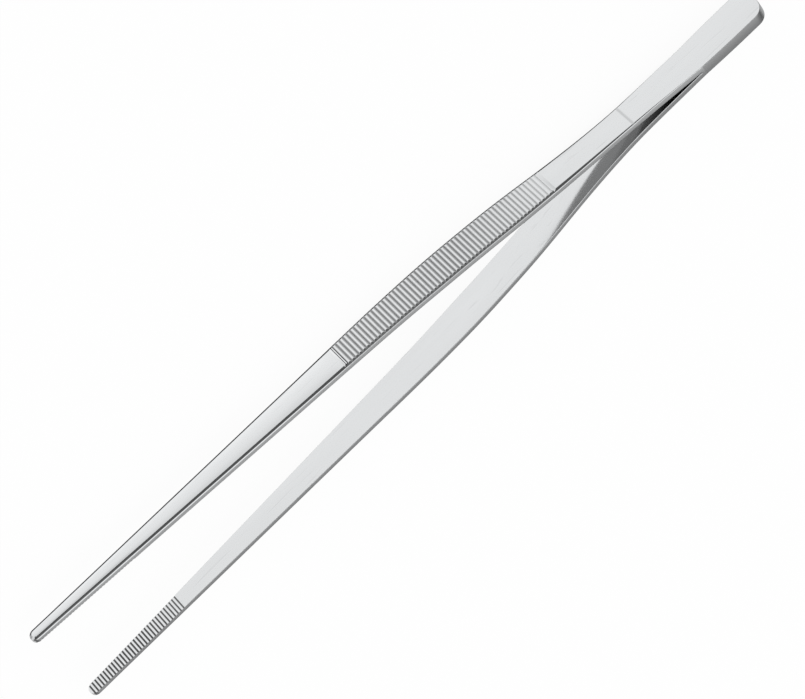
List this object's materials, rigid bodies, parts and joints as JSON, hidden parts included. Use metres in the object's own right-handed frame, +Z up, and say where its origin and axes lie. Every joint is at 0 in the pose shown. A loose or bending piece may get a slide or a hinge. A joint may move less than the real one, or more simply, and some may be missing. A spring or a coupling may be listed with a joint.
{
  "type": "kitchen tongs",
  "caption": "Long tweezer-style kitchen tongs in polished steel: welded heel, sprung necks, ribbed grips and slim tapered arms with toothed tips.",
  "frame": {"origin": "under the middle of the whole part, on the surface that it lies on", "axes": "+X from the heel to the tips, Y across the opening with the left arm on +Y, +Z up with the tongs lying on their side edges"},
  "size_m": [0.3, 0.0402, 0.0129],
  "materials": {
    "polished_steel": "polished, very fine long grain",
    "weld_steel": "fused, hidden between the heels"
  },
  "bodies": {
    "heel": {"left_heel_plate": "polished_steel", "right_heel_plate": "polished_steel", "heel_weld_nuggets": "weld_steel", "left_spring_neck": "polished_steel", "right_spring_neck": "polished_steel"},
    "left_arm": {"left_arm": "polished_steel"},
    "right_arm": {"right_arm": "polished_steel"}
  },
  "joints": [
    {"name": "left_arm_squeeze", "type": "hinge", "parent": "heel", "child": "left_arm", "pos_m": [-0.09, 0.00314, 0.00645], "axis": [0, 0, -1], "range_deg": [0, 4.27], "stiffness_Nm_per_rad": 21, "deforming": ["left_spring_neck"]},
    {"name": "right_arm_squeeze", "type": "hinge", "parent": "heel", "child": "right_arm", "pos_m": [-0.09, -0.00314, 0.00645], "axis": [0, 0, 1], "range_deg": [0, 4.27], "stiffness_Nm_per_rad": 21, "deforming": ["right_spring_neck"]}
  ],
  "couplings": [
    {"joint": "right_arm_squeeze", "follows": "left_arm_squeeze", "ratio": 1}
  ]
}
